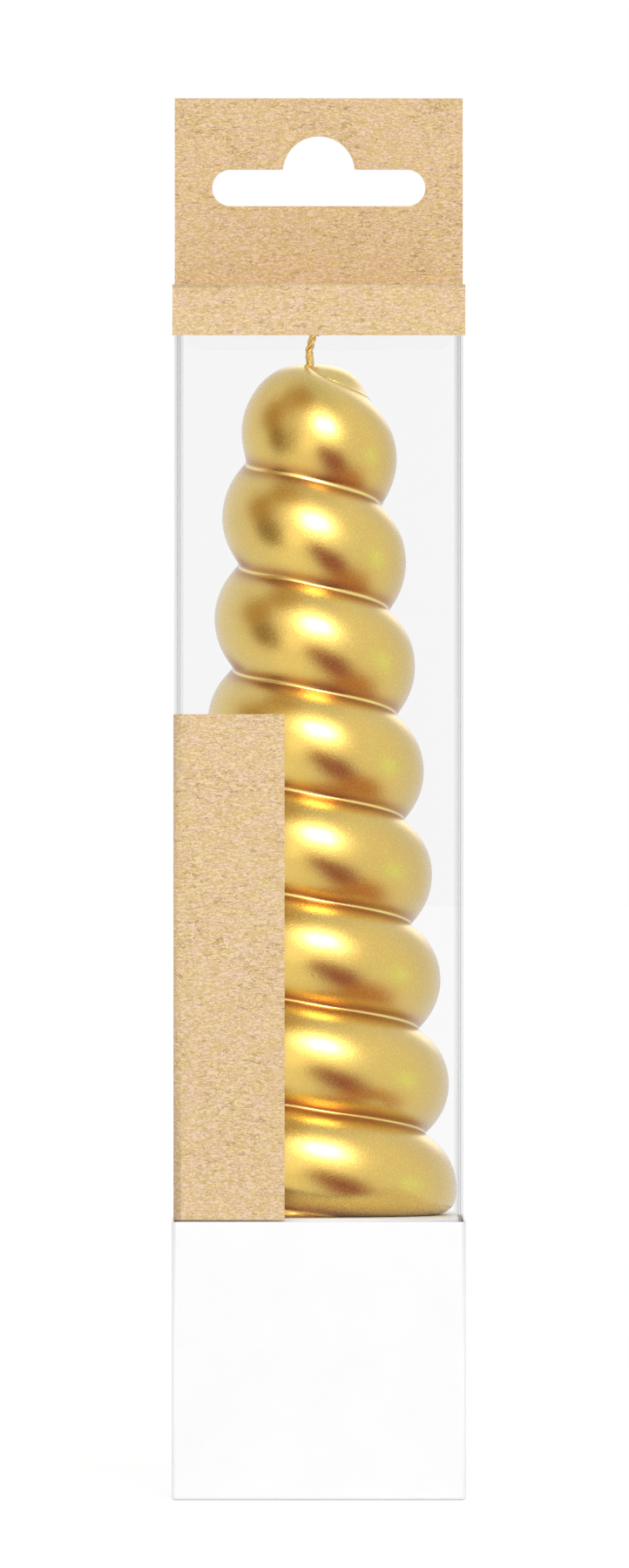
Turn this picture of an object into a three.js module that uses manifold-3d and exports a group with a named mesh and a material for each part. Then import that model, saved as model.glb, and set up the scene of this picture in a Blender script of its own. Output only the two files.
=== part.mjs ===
// A unicorn horn candle in its clear hanging box.
//
// The gold horn stands on a folded riser inside a white card tray. A clear cover slips down
// into the tray and closes at the top with a lid, a tuck flap and two dust flaps. A kraft
// header card wraps the top of the cover and carries the hang tab with its euro slot, and a
// kraft band wraps the cover's left side.
//
// Units are millimetres, +Z is up, -Y is the front, and the origin is the centre of the
// tray's underside.

import * as THREE from "three";
import { mergeVertices } from "three/addons/utils/BufferGeometryUtils.js";
import Module from "manifold-3d";

const wasm = await Module();
wasm.setup();

// Clear box
const boxWidth = 42.6;
const boxDepth = 42.6;
const sheet = 0.3;
const headroom = 3.9;
const glueFlapWidth = 8;
const glueFlapTrim = 2;

// White tray and riser
const trayHeight = 41;
const trayCard = 0.3;
const traySlip = 0.1;
const riserHeight = 41.5;
const riserCard = 0.4;
const riserSlip = 0.4;
const riserFoot = 9;
const seatGap = 0.3;

// Horn
const hornHeight = 126.6;
const hornSlip = 0.2;
const hornLean = -1.3;
const thread = 15.55;
const threadStart = THREE.MathUtils.degToRad(-20);
const threadStartDrop = 0.95;
const threadStartTurns = 0.25;
const grooveTipRadius = 9;
const grooveSag = 0.65;
const grooveFirstSag = 1.4;
const bulgeAtTip = THREE.MathUtils.degToRad(43.5);
const bulgeAtBase = THREE.MathUtils.degToRad(61);
const tipShare = 0.85;
const tipTurns = 0.12;
const shoulderTurns = 0.8;
const crownFlatness = 0.4;
const crownDepth = 1.6;
const bulgeSettleTurns = 0.15;
const knob = 1;
const knobTurns = 0.3;
const knobSpread = 0.16;
const knobFoot = 0.4;
const meridians = 48;
const stepsPerLobe = 8;

// Wick
const wickDiameter = 1.2;
const wickSlip = 0.3;
const wickRise = 6;
const wickHookReach = 1.7;
const wickHookSide = 0.85;
const wickStraight = 3;
const wickSides = 8;
const boreSides = 24;
const wickSteps = 56;

// Kraft header card and hang tab
const headerOverhang = 0.3;
const kraftCard = 0.4;
const headerStrip = 7.5;
const headerBackLeaf = 6;
const stripSlip = 0.1;
const tabHeight = 29;
const tabCrease = 0.2;
const slotWidth = 32;
const slotBar = 5.5;
const slotHumpRadius = 5.4;
const slotAboveCrease = 12.8;
const slotHumpRise = 5;
const slotArcSteps = 10;

// Lid, tuck flap and dust flaps
const flapGap = 0.3;
const lidHingeInset = 0.3;
const lidBackGap = 0.2;
const lidSideInset = 0.1;
const tuckLength = 9;
const tuckLean = THREE.MathUtils.degToRad(10);
const tuckCorner = 3;
const tuckSideInset = 1;
const tuckSlip = 0.1;
const dustFlapLength = 15;
const dustFlapFrontInset = 1.5;
const dustFlapBackInset = 3;
const dustFlapCorner = 3;
const wallTopGap = 0.1;
const cornerSteps = 6;

// Kraft band round the left side
const bandPaper = 0.15;
const bandHeight = 74.6;
const bandFrontWidth = 16.4;
const bandBackWidth = 25;

// Heights, worked out from the tray upwards
const coverFoot = trayCard + seatGap;
const dustFlapBottom = riserHeight + hornHeight + wickRise + headroom;
const sideWallTop = dustFlapBottom - wallTopGap;
const frontWallTop = dustFlapBottom + sheet;
const lidBottom = frontWallTop + flapGap;
const lidTop = lidBottom + sheet;
const headerTop = lidTop + kraftCard;
const bandBottom = trayHeight + seatGap;

// Faces of the clear box and of the tray round it
const outerX = boxWidth / 2;
const outerY = boxDepth / 2;
const innerX = outerX - sheet;
const innerY = outerY - sheet;
const trayInnerX = outerX + traySlip;
const trayInnerY = outerY + traySlip;
const trayOuterX = trayInnerX + trayCard;
const trayOuterY = trayInnerY + trayCard;
const headerX = outerX + headerOverhang;
const riserX = innerX - riserSlip;
const riserY = innerY - riserSlip;
const lidHingeY = outerY - lidHingeInset;

const colours = {
  gold: 0xdcb355,
  wick: 0xe3c276,
  clear: 0xdfe4e6,
  white: 0xf7f7f5,
  kraft: 0xdebd8c,
};

const goldLacquer = new THREE.MeshStandardMaterial({ color: colours.gold, roughness: 0.32, metalness: 1 });
const wickCotton = new THREE.MeshStandardMaterial({ color: colours.wick, roughness: 0.6, metalness: 0.3 });
const clearSheet = new THREE.MeshStandardMaterial({
  color: colours.clear,
  roughness: 0.08,
  metalness: 0,
  transparent: true,
  opacity: 0.2,
});
const whiteCard = new THREE.MeshStandardMaterial({ color: colours.white, roughness: 0.55, metalness: 0 });
const kraftBoard = new THREE.MeshStandardMaterial({ color: colours.kraft, roughness: 0.9, metalness: 0 });

function named(name, geometry, material) {
  const mesh = new THREE.Mesh(geometry, material);
  mesh.name = name;
  return mesh;
}

// A flat panel between two corners.
function panel(name, material, low, high) {
  const size = high.map((top, axis) => top - low[axis]);
  const mesh = named(name, new THREE.BoxGeometry(...size), material);
  mesh.position.set(...low.map((bottom, axis) => bottom + size[axis] / 2));
  return mesh;
}

function toSolid(geometry) {
  const bare = geometry.clone();
  bare.deleteAttribute("normal");
  bare.deleteAttribute("uv");
  const merged = mergeVertices(bare, 1e-4);
  return new wasm.Manifold(
    new wasm.Mesh({
      numProp: 3,
      vertProperties: merged.attributes.position.array,
      triVerts: new Uint32Array(merged.index.array),
    }),
  );
}

function toGeometry(solid) {
  const mesh = solid.getMesh();
  const geometry = new THREE.BufferGeometry();
  geometry.setAttribute("position", new THREE.BufferAttribute(new Float32Array(mesh.vertProperties), 3));
  geometry.setIndex(new THREE.BufferAttribute(new Uint32Array(mesh.triVerts), 1));
  geometry.computeVertexNormals();
  return geometry;
}

// The tray is one blank: a floor with four walls creased up from it.
function makeTray() {
  const tray = new THREE.Group();
  tray.add(
    panel("tray_floor", whiteCard, [-trayInnerX, -trayInnerY, 0], [trayInnerX, trayInnerY, trayCard]),
    panel("tray_front", whiteCard, [-trayOuterX, -trayOuterY, 0], [trayOuterX, -trayInnerY, trayHeight]),
    panel("tray_back", whiteCard, [-trayOuterX, trayInnerY, 0], [trayOuterX, trayOuterY, trayHeight]),
    panel("tray_left", whiteCard, [-trayOuterX, -trayInnerY, 0], [-trayInnerX, trayInnerY, trayHeight]),
    panel("tray_right", whiteCard, [trayInnerX, -trayInnerY, 0], [trayOuterX, trayInnerY, trayHeight]),
  );
  return tray;
}

// The riser is a folded strip: a platform, two legs, and two feet glued to the tray's floor.
function makeRiser() {
  const riser = new THREE.Group();
  const underside = riserHeight - riserCard;
  const footTop = trayCard + riserCard;
  const slab = (name, low, high, foot, top) =>
    panel(`riser_${name}`, whiteCard, [-riserX, low, foot], [riserX, high, top]);
  const legInside = riserY - riserCard;
  const footEnd = legInside - riserFoot;
  riser.add(
    slab("platform", -riserY, riserY, underside, riserHeight),
    slab("front_leg", -riserY, -legInside, trayCard, underside),
    slab("front_foot", -legInside, -footEnd, trayCard, footTop),
    slab("back_leg", legInside, riserY, trayCard, underside),
    slab("back_foot", footEnd, legInside, trayCard, footTop),
  );
  return riser;
}

// How far a lobe stands out of its two grooves, for arcs that leave the chord at an angle.
function bulgeRise(angle) {
  return (thread / 2) * Math.tan(angle / 2);
}

const hornBaseRadius = Math.min(innerX, innerY) - hornSlip;
const grooveBaseRadius = hornBaseRadius - bulgeRise(bulgeAtBase);

// Height of the groove after a number of turns from the tip. It sags a little at the left,
// and most in its first turn.
function grooveHeight(turns) {
  const start = Math.max(0, 1 - turns / threadStartTurns);
  const leftward = Math.max(0, -Math.sin(threadStart + 2 * Math.PI * turns));
  const sag = (grooveSag + grooveFirstSag * Math.exp(-turns)) * leftward * leftward;
  return hornHeight - threadStartDrop * (1 - start * start) - sag - thread * turns;
}

// Radius of the groove: a straight taper that closes to a point at the tip.
function grooveRadius(turns) {
  const height = grooveHeight(turns);
  const taper = grooveBaseRadius + ((grooveTipRadius - grooveBaseRadius) * height) / hornHeight;
  const quick = tipShare * Math.exp(-turns / tipTurns);
  const slow = (1 - tipShare) * Math.exp(-turns / shoulderTurns);
  return taper * (1 - quick - slow);
}

function groovePoint(turns) {
  return turns <= 0 ? [0, hornHeight] : [grooveRadius(turns), grooveHeight(turns)];
}

// The angle at which the arc of a lobe leaves its chord. The first lobe is the round tip.
function bulgeAngle(turns) {
  const [radius, height] = groovePoint(Math.min(turns, 1));
  const roundTip = Math.atan2(hornHeight - height, radius);
  if (turns <= 1) return roundTip;
  const share = 1 - Math.max(0, grooveHeight(turns)) / hornHeight;
  const regular = bulgeAtTip + (bulgeAtBase - bulgeAtTip) * share;
  return regular + (roundTip - regular) * Math.exp(-(turns - 1) / bulgeSettleTurns);
}

// How far the thread's end swells out at the crown, above its crease and below it.
function knobSwell(turns, along) {
  const above = Math.exp(-(((turns - knobTurns) / knobSpread) ** 2));
  const below = Math.exp(-(((turns - 1 - knobTurns) / knobSpread) ** 2));
  const overCrease = above * (Math.sin(Math.PI * along) + knobFoot * along);
  return knob * (overCrease + below * knobFoot * (1 - along * along));
}

// A point on the lobe between two turns of the groove, as radius and height.
function lobePoint(turns, along) {
  const top = groovePoint(turns - 1);
  const bottom = groovePoint(turns);
  const chord = [bottom[0] - top[0], bottom[1] - top[1]];
  const length = Math.hypot(...chord);
  if (length < 1e-6) return top;
  const angle = bulgeAngle(turns);
  const down = [chord[0] / length, chord[1] / length];
  const out = [-down[1], down[0]];
  const radius = length / 2 / Math.sin(angle);
  const swing = (2 * along - 1) * angle;
  const across = radius * Math.sin(swing) + length / 2;
  const rise = radius * (Math.cos(swing) - Math.cos(angle));
  const [x, z] = [0, 1].map((axis) => top[axis] + down[axis] * across + out[axis] * rise);
  return [x + knobSwell(turns, along), z];
}

// The horn as one closed surface that follows its thread down past the base.
function hornSurface() {
  const lobes = Math.ceil(hornHeight / thread) + 1;
  const ringCount = lobes * stepsPerLobe;
  const positions = [0, 0, hornHeight];
  const rows = [];
  for (let i = 0; i < meridians; i++) {
    const angle = threadStart + (2 * Math.PI * i) / meridians;
    const count = ringCount + (i === 0 ? stepsPerLobe : 0);
    const row = [0];
    for (let j = 1; j <= count; j++) {
      const lobe = Math.floor((j - 1) / stepsPerLobe);
      const along = (j - lobe * stepsPerLobe) / stepsPerLobe;
      if (i === 0 && lobe === 0) {
        row.push(0);
        continue;
      }
      const [radius, height] = lobePoint(lobe + i / meridians, along);
      row.push(positions.length / 3);
      positions.push(radius * Math.sin(angle), -radius * Math.cos(angle), height);
    }
    rows.push(row);
  }
  const faces = [];
  const addFace = (a, b, c) => {
    if (a !== b && b !== c && c !== a) faces.push(a, b, c);
  };
  const at = (i, j) => (i === meridians ? rows[0][j + stepsPerLobe] : rows[i][j]);
  for (let i = 0; i < meridians; i++) {
    for (let j = 0; j < ringCount; j++) {
      addFace(at(i, j), at(i, j + 1), at(i + 1, j + 1));
      if (i === meridians - 1 && j === 0) {
        for (let m = 0; m < stepsPerLobe; m++) addFace(at(i, j), rows[0][m + 1], rows[0][m]);
      }
      addFace(at(i, j), at(i + 1, j + 1), at(i + 1, j));
    }
  }
  const rim = rows.map((row) => row[ringCount]);
  for (let j = ringCount + stepsPerLobe; j > ringCount; j--) rim.push(rows[0][j]);
  const centre = positions.length / 3;
  positions.push(0, 0, grooveHeight(lobes));
  rim.forEach((vertex, n) => addFace(vertex, centre, rim[(n + 1) % rim.length]));
  const geometry = new THREE.BufferGeometry();
  geometry.setAttribute("position", new THREE.Float32BufferAttribute(positions, 3));
  geometry.setIndex(faces);
  return geometry;
}

// Flattens the crown a little, because the wax settles round the wick.
function flattenCrown(geometry) {
  const points = geometry.attributes.position;
  for (let n = 0; n < points.count; n++) {
    const depth = hornHeight - points.getZ(n);
    points.setZ(n, hornHeight - depth * (1 - crownFlatness * Math.exp(-depth / crownDepth)));
  }
  return geometry;
}

// Leans the horn's axis to one side, with its base left flat.
function lean(geometry) {
  const points = geometry.attributes.position;
  for (let n = 0; n < points.count; n++) {
    points.setX(n, points.getX(n) + (hornLean * points.getZ(n)) / hornHeight);
  }
  return geometry;
}

function makeHorn() {
  const belowBase = 2 * hornHeight;
  const floor = new THREE.BoxGeometry(belowBase, belowBase, belowBase).translate(0, 0, -belowBase / 2);
  const boreRadius = wickDiameter / 2 + wickSlip;
  const bore = new THREE.CylinderGeometry(boreRadius, boreRadius, 2 * hornHeight, boreSides);
  bore.rotateX(Math.PI / 2).translate(0, 0, hornHeight / 2);
  const body = toSolid(lean(flattenCrown(hornSurface())));
  const horn = body.subtract(toSolid(floor)).subtract(toSolid(lean(bore)));
  return named("horn_wax", toGeometry(horn), goldLacquer);
}

// The wick runs up the bore, leaves the tip and ends in a small hook.
function makeWick() {
  const tip = new THREE.Vector3(hornLean, 0, hornHeight);
  const hook = (x, y, z) => new THREE.Vector3(tip.x + x, tip.y + y, tip.z + z);
  const top = wickRise - wickDiameter / 2;
  const points = [
    new THREE.Vector3(0, 0, seatGap),
    new THREE.Vector3(hornLean / 3, 0, hornHeight / 3),
    new THREE.Vector3((2 * hornLean) / 3, 0, (2 * hornHeight) / 3),
    hook(0, 0, -wickStraight),
    hook(0, 0, 0),
    hook(-0.24 * wickHookSide, 0, 0.28 * top),
    hook(0.06 * wickHookSide, 0, 0.57 * top),
    hook(0.3 * wickHookSide, 0.06 * wickHookReach, 0.82 * top),
    hook(0.6 * wickHookSide, 0.47 * wickHookReach, top),
    hook(0.94 * wickHookSide, 0.94 * wickHookReach, 0.82 * top),
    hook(wickHookSide, wickHookReach, 0.62 * top),
  ];
  const section = new THREE.Shape();
  for (let n = 0; n < wickSides; n++) {
    const angle = (2 * Math.PI * n) / wickSides;
    const corner = [(wickDiameter / 2) * Math.cos(angle), (wickDiameter / 2) * Math.sin(angle)];
    if (n === 0) section.moveTo(...corner);
    else section.lineTo(...corner);
  }
  section.closePath();
  const geometry = new THREE.ExtrudeGeometry(section, {
    steps: wickSteps,
    extrudePath: new THREE.CatmullRomCurve3(points, false, "centripetal"),
    bevelEnabled: false,
  });
  return named("wick", geometry, wickCotton);
}

// The clear cover is one creased sheet, open at the bottom, with a glue flap inside one corner.
function makeCoverWalls() {
  const walls = new THREE.Group();
  walls.add(
    panel("clear_front", clearSheet, [-outerX, -outerY, coverFoot], [outerX, -innerY, frontWallTop]),
    panel("clear_back", clearSheet, [-outerX, innerY, coverFoot], [outerX, outerY, frontWallTop]),
    panel("clear_left", clearSheet, [-outerX, -innerY, coverFoot], [-innerX, innerY, sideWallTop]),
    panel("clear_right", clearSheet, [innerX, -innerY, coverFoot], [outerX, innerY, sideWallTop]),
    panel(
      "glue_flap",
      clearSheet,
      [-innerX, innerY - glueFlapWidth, coverFoot + glueFlapTrim],
      [-innerX + sheet, innerY, sideWallTop - glueFlapTrim],
    ),
  );
  return walls;
}

// The kraft band is a U of paper on the front, the left side and the back of the cover.
function makeBand() {
  const left = -outerX - bandPaper;
  const outline = new THREE.Shape([
    new THREE.Vector2(left, -outerY - bandPaper),
    new THREE.Vector2(left + bandFrontWidth, -outerY - bandPaper),
    new THREE.Vector2(left + bandFrontWidth, -outerY),
    new THREE.Vector2(-outerX, -outerY),
    new THREE.Vector2(-outerX, outerY),
    new THREE.Vector2(left + bandBackWidth, outerY),
    new THREE.Vector2(left + bandBackWidth, outerY + bandPaper),
    new THREE.Vector2(left, outerY + bandPaper),
  ]);
  const geometry = new THREE.ExtrudeGeometry(outline, { depth: bandHeight, bevelEnabled: false });
  const band = named("side_band", geometry, kraftBoard);
  band.position.z = bandBottom;
  return band;
}

// The header's leaf that is glued to the back of the cover, below the hang tab.
function makeHeaderBackLeaf() {
  const top = headerTop - tabCrease;
  return panel(
    "header_back_leaf",
    kraftBoard,
    [-headerX, outerY, top - headerBackLeaf],
    [headerX, outerY + kraftCard, top],
  );
}

// The euro slot: a round-ended bar with a hump above its middle.
function euroSlot() {
  const endRadius = slotBar / 2;
  const middle = slotAboveCrease + endRadius;
  const barTop = slotAboveCrease + slotBar;
  const humpCentre = barTop + slotHumpRise - slotHumpRadius;
  const humpStart = Math.asin((barTop - humpCentre) / slotHumpRadius);
  const slot = new THREE.Path();
  slot.absarc(slotWidth / 2 - endRadius, middle, endRadius, -Math.PI / 2, Math.PI / 2, false);
  slot.absarc(0, humpCentre, slotHumpRadius, humpStart, Math.PI - humpStart, false);
  slot.absarc(-slotWidth / 2 + endRadius, middle, endRadius, Math.PI / 2, (3 * Math.PI) / 2, false);
  slot.closePath();
  return slot;
}

// The hang tab is the header card doubled over, with the slot punched through both leaves.
function makeHangTab() {
  const outline = new THREE.Shape([
    new THREE.Vector2(-headerX, 0),
    new THREE.Vector2(headerX, 0),
    new THREE.Vector2(headerX, tabHeight),
    new THREE.Vector2(-headerX, tabHeight),
  ]);
  outline.holes.push(euroSlot());
  const tab = new THREE.Group();
  for (const [n, name] of ["tab_front_leaf", "tab_back_leaf"].entries()) {
    const geometry = new THREE.ExtrudeGeometry(outline, {
      depth: kraftCard,
      bevelEnabled: false,
      curveSegments: slotArcSteps,
    });
    geometry.rotateX(Math.PI / 2).translate(0, kraftCard, 0);
    const leaf = named(name, geometry, kraftBoard);
    leaf.position.set(0, outerY + n * kraftCard, headerTop + tabCrease);
    tab.add(leaf);
  }
  return tab;
}

// The lid: a clear flap and its tuck, under the header's top panel and front strip.
function makeLid() {
  const lid = new THREE.Group();
  const lidX = outerX - lidSideInset;
  const lidBack = lidHingeY - lidBackGap;
  const lidFront = -innerY + lidBackGap;
  const stripBack = -outerY - stripSlip;
  lid.add(
    panel("lid_panel", clearSheet, [-lidX, lidFront, lidBottom], [lidX, lidBack, lidTop]),
    panel("header_top_panel", kraftBoard, [-headerX, stripBack, lidTop], [headerX, lidBack, headerTop]),
    panel(
      "header_front_strip",
      kraftBoard,
      [-headerX, stripBack - kraftCard, headerTop - headerStrip],
      [headerX, stripBack, headerTop],
    ),
    makeTuck(lidFront),
  );
  return lid;
}

// A flap outline in its own plane: root along x at 0, free edge at -length, corners rounded.
function flapShape(leftX, rightX, length, corner) {
  const shape = new THREE.Shape();
  shape.moveTo(leftX, 0);
  shape.lineTo(leftX, -length + corner);
  shape.absarc(leftX + corner, -length + corner, corner, Math.PI, (3 * Math.PI) / 2, false);
  shape.absarc(rightX - corner, -length + corner, corner, (3 * Math.PI) / 2, 2 * Math.PI, false);
  shape.lineTo(rightX, 0);
  shape.closePath();
  return shape;
}

// The tuck hangs inside the front wall and leans in, so that it swings clear of it.
function makeTuck(lidFront) {
  const halfWidth = innerX - tuckSideInset;
  const outline = flapShape(-halfWidth, halfWidth, tuckLength, tuckCorner);
  const geometry = new THREE.ExtrudeGeometry(outline, {
    depth: sheet,
    bevelEnabled: false,
    curveSegments: cornerSteps,
  });
  geometry.rotateX(Math.PI / 2 + tuckLean);
  const tuck = named("lid_tuck", geometry, clearSheet);
  tuck.position.set(0, lidFront + sheet, lidBottom - tuckSlip);
  return tuck;
}

// Each dust flap folds in from its side wall, with a slanted back edge that clears the lid.
function makeDustFlap(name, side) {
  const front = -innerY + dustFlapFrontInset;
  const back = innerY - dustFlapBackInset;
  const root = innerX - sheet / 2;
  const tip = root - dustFlapLength;
  const round = [tip + dustFlapCorner, front + dustFlapCorner];
  const outline = new THREE.Shape();
  outline.moveTo(root, front);
  outline.lineTo(root, back);
  outline.lineTo(tip, back - dustFlapLength);
  outline.lineTo(tip, round[1]);
  outline.absarc(...round, dustFlapCorner, Math.PI, (3 * Math.PI) / 2, false);
  outline.closePath();
  const geometry = new THREE.ExtrudeGeometry(outline, {
    depth: sheet,
    bevelEnabled: false,
    curveSegments: cornerSteps,
  });
  const flap = named(name, geometry, clearSheet);
  flap.scale.x = side;
  flap.position.z = dustFlapBottom;
  return flap;
}

const base = new THREE.Group();
base.add(makeTray(), makeRiser());

const candle = new THREE.Group();
candle.add(makeHorn(), makeWick());
candle.position.z = riserHeight;

const cover = new THREE.Group();
cover.add(
  makeCoverWalls(),
  makeBand(),
  makeHeaderBackLeaf(),
  makeLid(),
  makeDustFlap("dust_flap_left", -1),
  makeDustFlap("dust_flap_right", 1),
  makeHangTab(),
);

const part = new THREE.Group();
part.add(base, candle, cover);

export default part;
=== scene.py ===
"""A gold unicorn horn candle in its clear hanging box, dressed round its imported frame.

Everything is in metres, +Z is up and the front faces -Y. Each operator makes one piece or a
group of like pieces, and main() calls them in order.
"""

import math

import bmesh
import bpy
from bpy.props import (
    FloatProperty,
    FloatVectorProperty,
    IntProperty,
    PointerProperty,
)
from mathutils import Matrix, Quaternion, Vector, noise


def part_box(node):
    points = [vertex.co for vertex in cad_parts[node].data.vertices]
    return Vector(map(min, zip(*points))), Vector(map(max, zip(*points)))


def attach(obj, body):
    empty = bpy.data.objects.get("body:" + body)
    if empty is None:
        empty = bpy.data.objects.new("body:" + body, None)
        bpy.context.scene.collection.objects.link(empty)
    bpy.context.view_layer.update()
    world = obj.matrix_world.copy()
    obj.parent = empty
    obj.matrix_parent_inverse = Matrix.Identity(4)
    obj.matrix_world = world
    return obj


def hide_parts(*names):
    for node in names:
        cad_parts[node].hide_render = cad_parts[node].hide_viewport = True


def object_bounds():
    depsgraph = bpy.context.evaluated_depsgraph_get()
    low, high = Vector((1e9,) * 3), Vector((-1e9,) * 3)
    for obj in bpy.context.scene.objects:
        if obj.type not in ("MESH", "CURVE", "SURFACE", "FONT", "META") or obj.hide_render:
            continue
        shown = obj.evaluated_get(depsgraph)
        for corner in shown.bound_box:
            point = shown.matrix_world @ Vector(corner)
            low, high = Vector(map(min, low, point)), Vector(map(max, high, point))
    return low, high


bl_info = {
    "name": "Horn Candle in a Clear Box",
    "version": (1, 0, 0),
    "blender": (4, 5, 0),
    "location": "View3D > Sidebar > Horn Candle",
    "description": "Makes a gold horn candle with its clear box, white tray and kraft header",
    "category": "Object",
}

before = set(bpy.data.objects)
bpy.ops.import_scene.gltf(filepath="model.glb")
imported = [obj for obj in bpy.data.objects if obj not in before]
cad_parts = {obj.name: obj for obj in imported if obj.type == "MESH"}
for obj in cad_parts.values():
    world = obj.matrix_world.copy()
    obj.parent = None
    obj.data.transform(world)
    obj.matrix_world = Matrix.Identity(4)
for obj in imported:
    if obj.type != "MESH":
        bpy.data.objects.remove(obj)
CAD_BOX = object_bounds()

MM = 0.001
# Places closer together than this are one place.
TOUCH = 0.0001 * MM


def length(name, description, millimetres):
    """A size that is written in millimetres and kept in metres."""
    return FloatProperty(
        name=name,
        description=description,
        default=millimetres * MM,
        precision=5,
        unit="LENGTH",
    )


def angle(name, description, degrees):
    """An angle that is written in degrees and kept in radians."""
    return FloatProperty(
        name=name, description=description, default=math.radians(degrees), subtype="ANGLE"
    )


def share(name, description, default):
    """A plain number, such as a share of one or a number of turns."""
    return FloatProperty(name=name, description=description, default=default)


def count(name, description, default):
    """A whole number of copies or steps."""
    return IntProperty(name=name, description=description, default=default, min=1)


def colour(name, description, red, green, blue):
    """A colour that is written as it shows on a screen, 0 to 255, and kept as linear light."""
    linear = []
    for level in (red / 255, green / 255, blue / 255):
        linear.append(level / 12.92 if level <= 0.04045 else ((level + 0.055) / 1.055) ** 2.4)
    return FloatVectorProperty(
        name=name,
        description=description,
        default=linear,
        size=3,
        min=0,
        max=1,
        subtype="COLOR",
    )


class HornSizes(bpy.types.PropertyGroup):
    """The moulded horn: a thread of round lobes on a tapered groove."""

    height: length("Height", "From the base to the tip", 126.6)
    base_slip: length("Base slip", "Clearance between the widest lobe and the box", 0.2)
    lean: length("Lean", "How far the tip stands to the right of the base", -1.3)
    thread: length("Thread", "Height of one turn", 15.55)
    thread_start: angle("Thread start", "Where the thread starts, turned from the front", -20)
    start_drop: length("Start drop", "How far the first turn falls below the thread", 0.95)
    start_turns: share("Start turns", "Turns over which the first turn settles", 0.25)
    start_ease: share("Start ease", "Turns over which the thread sets off from the tip", 0.05)
    groove_tip_radius: length("Groove radius at the tip", "Radius the groove tapers to", 8.8)
    bulge_tip: angle("Bulge at the tip", "Angle at which a top lobe leaves its groove", 45.5)
    bulge_base: angle("Bulge at the base", "Angle at which the last lobe leaves its groove", 63)
    tip_share: share("Tip share", "Share of the groove's radius that opens quickly", 0.85)
    tip_turns: share("Tip turns", "Turns over which that share opens", 0.12)
    shoulder_turns: share("Shoulder turns", "Turns over which the rest opens", 0.8)
    settle_turns: share("Settle turns", "Turns over which the round tip becomes a lobe", 0.4)
    crown_flatness: share("Crown flatness", "How much the crown is flattened", 0.4)
    crown_depth: length("Crown depth", "How far down the flattening reaches", 1.6)
    sag: length("Sag", "How far each groove sags at the left", 0.65)
    first_sag: length("First sag", "How much further the first turn sags there", 1.4)
    knob: length("Knob", "How far the thread's end swells at the right of the crown", 1.0)
    knob_turns: share("Knob turns", "Turns from the tip to the middle of the knob", 0.3)
    knob_spread: share("Knob spread", "Turns over which the knob fades", 0.16)
    knob_foot: share("Knob foot", "Share of the swelling that is left at the knob's crease", 0.4)
    fillet: length("Groove fillet", "How far the groove's bottom is filled and rounded", 0.6)
    first_fillet: length("First fillet", "How much further it is filled at the crown", 1.6)
    # Where along the thread and how far from a groove the gold's painted shade reaches.
    groove_turns: share("Groove turns", "Turns over which lacquer starts to pool in it", 0.62)
    pool: length("Pool", "How far from the groove the lacquer has pooled", 1.6)
    dimple: length("Wick dimple", "Depth of the hollow where the wick enters", 0.7)
    dimple_radius: length("Dimple radius", "Radius of that hollow", 0.75)
    rim: length("Base rim", "Radius of the rounded rim at the base", 2.2)
    rim_steps: count("Rim steps", "Faces across that rim", 6)
    unevenness: length("Unevenness", "How far the cast wax wanders from its form", 0.07)
    sectors: count("Sectors", "Faces round one turn", 144)
    steps: count("Steps", "Faces across one lobe", 28)


class WickSizes(bpy.types.PropertyGroup):
    """The twisted cotton wick and its coat of wax."""

    diameter: length("Diameter", "Diameter of the whole wick", 1.2)
    rise: length("Rise", "How far the hook stands over the tip", 6)
    twist: length("Twist", "Length of one turn of the strands", 3.4)
    core: share("Core", "Radius of the cord inside the wax, as a share of the diameter", 0.45)
    coat: length("Coat", "Height of the wax coat over the tip", 2.1)
    coat_foot: length("Coat foot", "How far the coat reaches down into the tip", 1.4)
    coat_share: share("Coat radius", "Radius of the coat, as a share of the diameter", 0.47)
    coat_taper: share("Coat taper", "How much of that share is lost at the torn edge", 0.14)
    coat_flare: length("Coat flare", "How far the coat spreads inside the tip", 0.22)
    coat_lean: length("Coat lean", "How far the coat's edge leans to the left", 0.12)
    coat_tear: length("Coat tear", "How ragged the coat is", 0.09)
    coat_rows: count("Coat rows", "Rings along the coat", 14)
    strands: count("Strands", "Number of strands", 3)
    sides: count("Sides", "Sides of a strand", 10)
    step: length("Step", "Distance between two rings of a strand", 0.16)


class BoxSizes(bpy.types.PropertyGroup):
    """Creases of the clear sleeve, the white card and the kraft card, and the clear haze."""

    clear_crease: length("Clear crease", "Outer radius of the sleeve's creases", 1.0)
    tray_crease: length("Tray crease", "Outer radius of the tray's upright creases", 0.6)
    floor_crease: length("Floor crease", "Outer radius of the crease round the floor", 0.35)
    riser_crease: length("Riser crease", "Outer radius of the riser's creases", 0.5)
    lid_crease: length("Header crease", "Outer radius of the header's front crease", 0.5)
    crease_steps: count("Crease steps", "Faces round one crease", 8)
    sleeve_haze: share("Sleeve haze", "Share of light that a flat sleeve wall holds back", 0.03)
    flap_haze: share("Flap haze", "Share of light that a clear flap holds back", 0.012)


class SlotSizes(bpy.types.PropertyGroup):
    """The hanging slot in the tab."""

    width: length("Width", "Whole width of the slot", 32)
    bar: length("Bar", "Height of its straight bar", 5.5)
    hump_radius: length("Hump radius", "Radius of the hump", 5.4)
    hump_rise: length("Hump rise", "How far the hump stands over the bar", 5)
    over_crease: length("Over the crease", "Height of the bar over the tab's crease", 12.8)
    arc_steps: count("Arc steps", "Edges round each arc", 20)


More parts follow.
